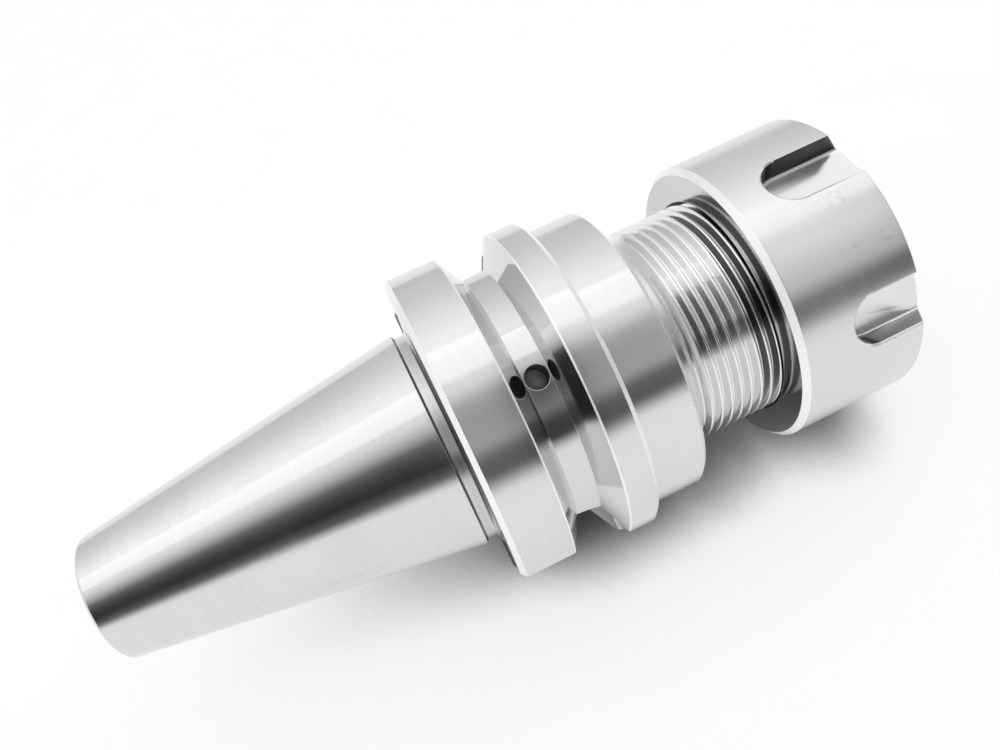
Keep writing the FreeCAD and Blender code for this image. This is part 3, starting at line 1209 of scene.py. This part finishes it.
# %% The room's tones
behind = [(-90, 0.68), (-60, 0.82), (-40, 1.0), (-20, 1.22), (-8, 0.97), (4, 0.9), (16, 0.97)]
taper_side = tone_ramp(behind + [(28, 0.6), (40, 0.14), (52, 0.06), (64, 0.03), (78, 0.13), (90, 1.05)])
flange_side = tone_ramp(behind + [(28, 0.47), (40, 0.42), (56, 0.46), (64, 0.15), (78, 0.1), (90, 1.05)])
nut_side = tone_ramp(behind + [(28, 0.98), (40, 0.8), (56, 0.66), (64, 0.16), (78, 0.2), (90, 1.0)])
groove_side = tone_ramp(behind[:-1] + [(16, 0.82), (26, 0.2), (40, 0.12), (54, 0.22), (66, 0.06), (80, 0.04),
                                       (90, 0.9)])
dark_card = tone_ramp(behind[:-2] + [(0, 0.6), (8, 0.15), (20, 0.04), (50, 0.02), (87, 0.02), (90, 0.3)])
light_end = tone_ramp([(-90, 0.9), (0, 1.0), (90, 0.95)])

changes = [
    (-0.82, -0.72, taper_side), (-0.32, -0.05, flange_side), (0.09, 0.115, groove_side),
    (0.18, 0.2, flange_side), (0.28, 0.4, nut_side), (0.54, 0.64, dark_card), (0.85, 0.92, light_end),
]
tones = light_end
for from_x, to_x, next_tones in changes:
    tones = along_axis(from_x, to_x, tones, next_tones)
print("the room's tone changes", len(changes), "times along the axis")

# %% [markdown]
# ## What the camera sees of the room
#
# The camera looks down on the table, but seen from lower the horizon shows. There the tinted room
# would give its strips away, so the camera's own rays get an even light grey and only the steel sees
# the tones. The Light Path node tells the two kinds of ray apart.

# %% The backdrop
backdrop = (0.94, 0.94, 0.94, 1)
view = room.node("LightPath")
lit = room.node("Background")
room.link(tones, lit.inputs["Color"])
seen = room.node("Background")
seen.inputs["Color"].default_value = backdrop
blend = room.node("MixShader")
output = room.node("OutputWorld")
room.link(view.outputs["Is Camera Ray"], blend.inputs["Fac"])
room.link(lit.outputs["Background"], blend.inputs[1])
room.link(seen.outputs["Background"], blend.inputs[2])
room.link(blend.outputs["Shader"], output.inputs["Surface"])
print("room nodes:", len(room.tree.nodes))

# %% [markdown]
# ## The camera
#
# The camera stands close by, above and in front of the gauge line, and is rolled so that the axis
# climbs across the picture. It could be placed by eye, but at this distance a few millimetres change
# every proportion. So its lens, its place and its axes were solved: the standard sizes of the taper
# and the flange have to fall on their edges in the photograph. Two of the axes are given, and the
# third stands square to both.

# %% The camera
camera_data = bpy.data.cameras.new("camera")
camera_data.lens = 30.342707
camera_data.sensor_width = 36.0
camera_data.clip_start = 0.005
camera = bpy.data.objects.new("camera", camera_data)
bpy.context.scene.collection.objects.link(camera)
camera_right = Vector((0.898733, -0.380196, -0.218471))
camera_up = Vector((0.426164, 0.639998, 0.639364))
camera_back = camera_right.cross(camera_up)
camera_place = Vector((-0.654253, -76.29716, 90.927415)) * MM
axes = Matrix((camera_right, camera_up, camera_back)).transposed()
camera.matrix_world = Matrix.Translation(camera_place) @ axes.to_4x4()
bpy.context.scene.camera = camera
bpy.context.scene.view_settings.view_transform = "Standard"
print("camera:", round(camera_place.length / MM, 1), "mm from the gauge line's centre")
